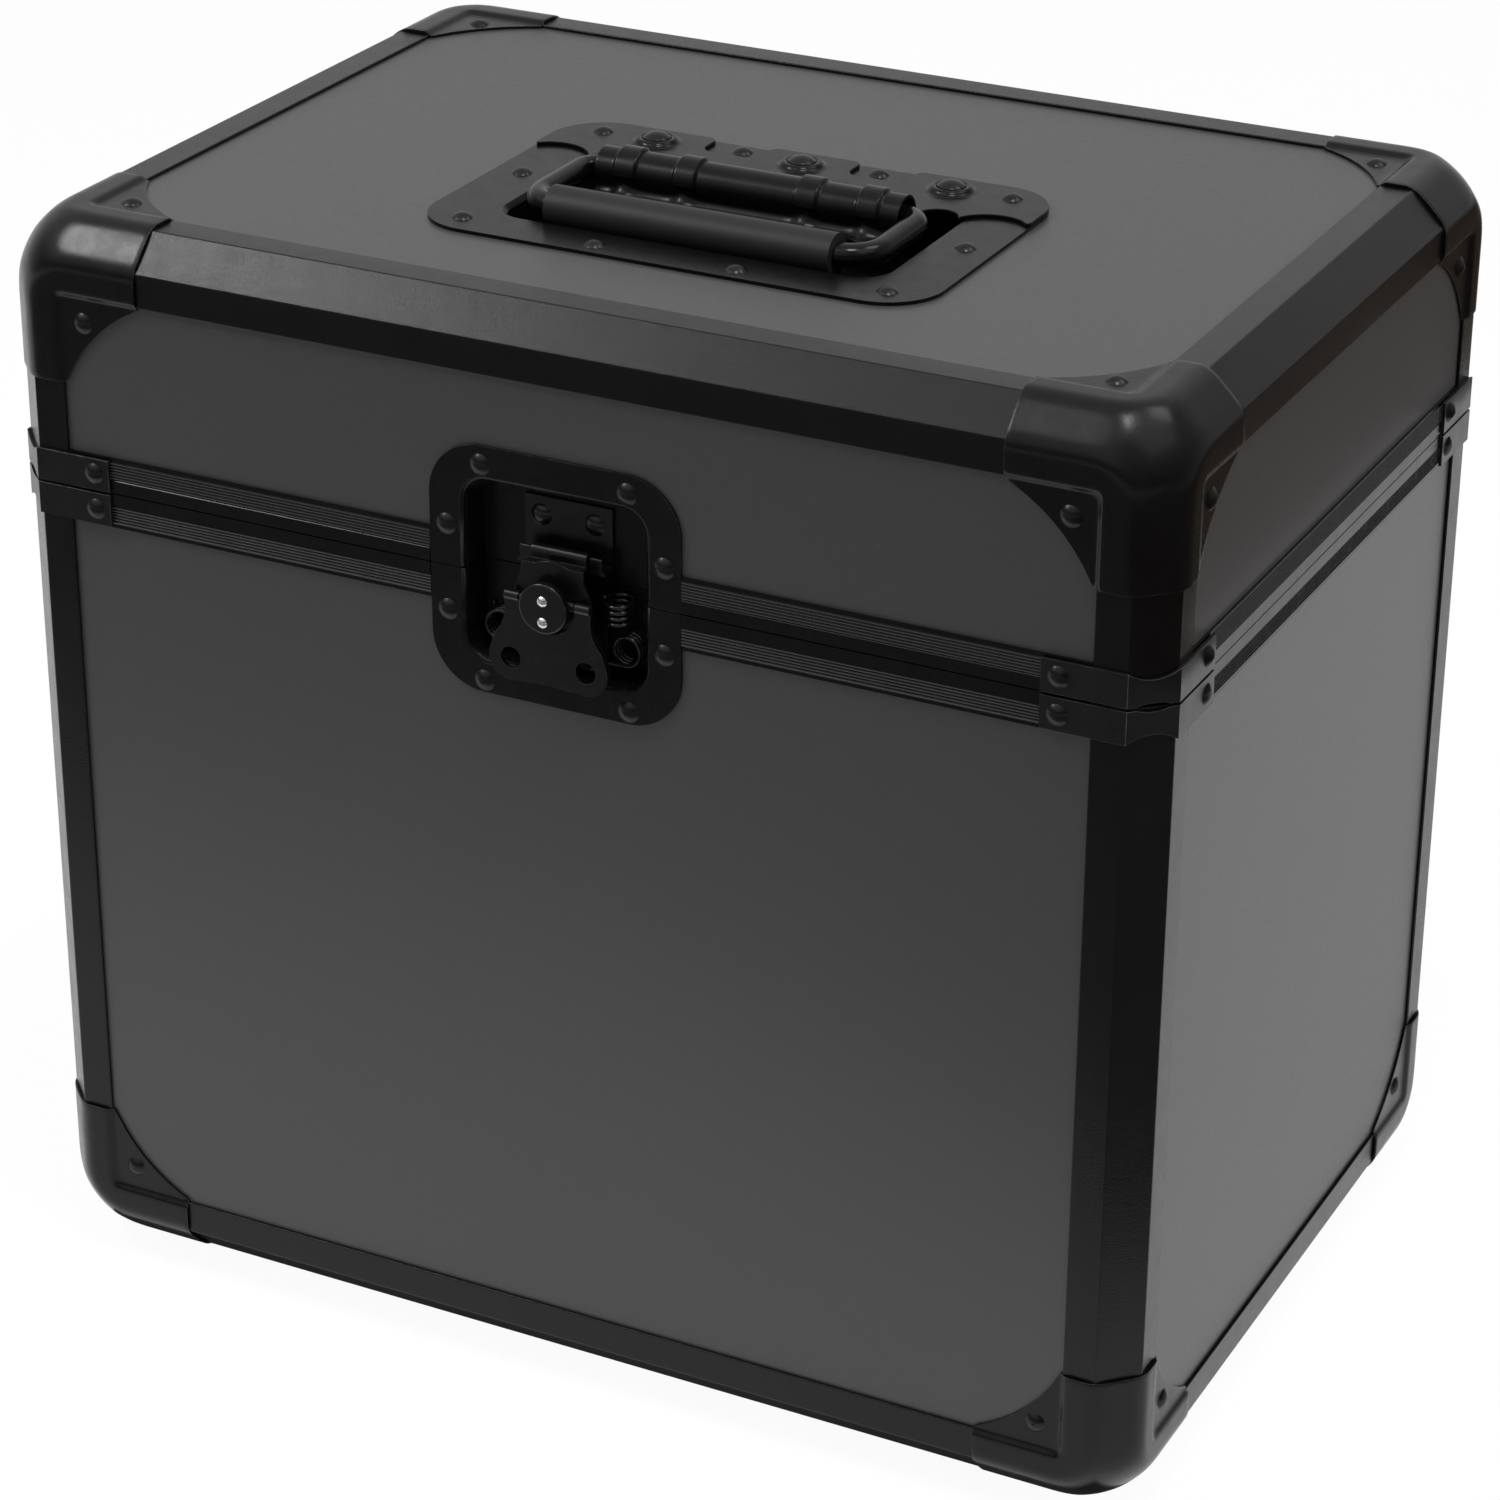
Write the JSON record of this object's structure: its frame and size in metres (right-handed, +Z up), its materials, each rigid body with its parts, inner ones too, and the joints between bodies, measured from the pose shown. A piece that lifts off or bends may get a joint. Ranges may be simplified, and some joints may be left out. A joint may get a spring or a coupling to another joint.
{
  "type": "record carrying case",
  "caption": "Lidded carrying case for records with chamfered edge trims, ball corners, a recessed butterfly twist latch and a recessed spring handle.",
  "frame": {"origin": "on the floor under the middle of the case", "axes": "+Z up, the latch on the front faces -Y, +X to the right seen from the front"},
  "size_m": [0.3994, 0.294, 0.3829],
  "materials": {
    "laminate": "plywood faced with satin grey laminate of a fine grain",
    "black_trim": "extruded aluminium with a fine-grained satin black coat",
    "black_steel": "pressed steel, satin black powder coat",
    "black_rivet": "satin black domed rivets",
    "bright_rivet": "bright zinc",
    "rubber": "matt black rubber",
    "foam": "closed-cell black foam lining"
  },
  "bodies": {
    "case_body": {"body_front_panel": "laminate", "body_back_panel": "laminate", "body_left_panel": "laminate", "body_right_panel": "laminate", "base_panel": "laminate", "body_uprights": "black_trim", "base_edge_trims": "black_trim", "body_seam_band": "black_trim", "body_brackets": "black_steel", "corner_base_front_left": "black_steel", "corner_base_front_right": "black_steel", "corner_base_back_left": "black_steel", "corner_base_back_right": "black_steel", "body_rivets": "black_rivet", "feet": "rubber", "foot_screws": "black_rivet", "body_foam_base": "foam", "body_foam_left": "foam", "body_foam_right": "foam", "body_foam_front": "foam", "body_foam_back": "foam", "hinge_body_leaves": "black_steel", "hinge_pins": "black_steel", "latch_dish_lower": "black_steel", "latch_base": "black_steel", "latch_pivot_pin": "black_steel", "latch_coil_left": "black_steel", "latch_coil_right": "black_steel", "latch_lift_coil": "black_steel"},
    "case_lid": {"lid_top_panel": "laminate", "lid_front_panel": "laminate", "lid_back_panel": "laminate", "lid_left_panel": "laminate", "lid_right_panel": "laminate", "lid_uprights": "black_trim", "top_edge_trims": "black_trim", "lid_seam_band": "black_trim", "lid_brackets": "black_steel", "corner_top_front_left": "black_steel", "corner_top_front_right": "black_steel", "corner_top_back_left": "black_steel", "corner_top_back_right": "black_steel", "lid_rivets": "black_rivet", "lid_foam": "foam", "hinge_lid_leaves": "black_steel", "latch_dish_upper": "black_steel", "latch_keeper": "black_steel", "handle_dish": "black_steel", "handle_cover": "black_steel", "handle_rivets": "black_rivet", "handle_spring_left": "black_steel", "handle_spring_right": "black_steel"},
    "bail": {"handle_bail": "black_steel", "handle_grip": "rubber"},
    "latch_arm": {"latch_arm": "black_steel"},
    "hook": {"latch_hook_plate": "black_steel"},
    "knob": {"latch_knob": "black_steel", "latch_knob_rivets": "bright_rivet", "latch_wing_pin": "black_steel"},
    "wing": {"latch_wing": "black_steel"}
  },
  "joints": [
    {"name": "lid_hinge", "type": "hinge", "parent": "case_body", "child": "case_lid", "pos_m": [0, 0.1429, 0.286], "axis": [-1, 0, 0], "range_deg": [0, 100]},
    {"name": "bail_hinge", "type": "hinge", "parent": "case_lid", "child": "bail", "pos_m": [0.005, -0.017, 0.3746], "axis": [-1, 0, 0], "range_deg": [0, 90], "stiffness_Nm_per_rad": 0.12, "springref_deg": -34.38},
    {"name": "arm_tilt", "type": "hinge", "parent": "case_body", "child": "latch_arm", "pos_m": [0, -0.1343, 0.26], "axis": [1, 0, 0], "range_deg": [0, 24]},
    {"name": "knob_turn", "type": "hinge", "parent": "latch_arm", "child": "knob", "pos_m": [0, -0.1383, 0.2817], "axis": [0, -1, 0], "range_deg": [0, 180]},
    {"name": "hook_slide", "type": "slide", "parent": "latch_arm", "child": "hook", "axis": [0, 0, 1], "range_m": [0, 0.004]},
    {"name": "wing_fold", "type": "hinge", "parent": "knob", "child": "wing", "pos_m": [0, -0.1433, 0.2827], "axis": [-1, 0, 0], "range_deg": [0, 90]}
  ],
  "couplings": [
    {"joint": "knob_turn", "follows": "hook_slide", "rad_per_m": 785.4}
  ]
}
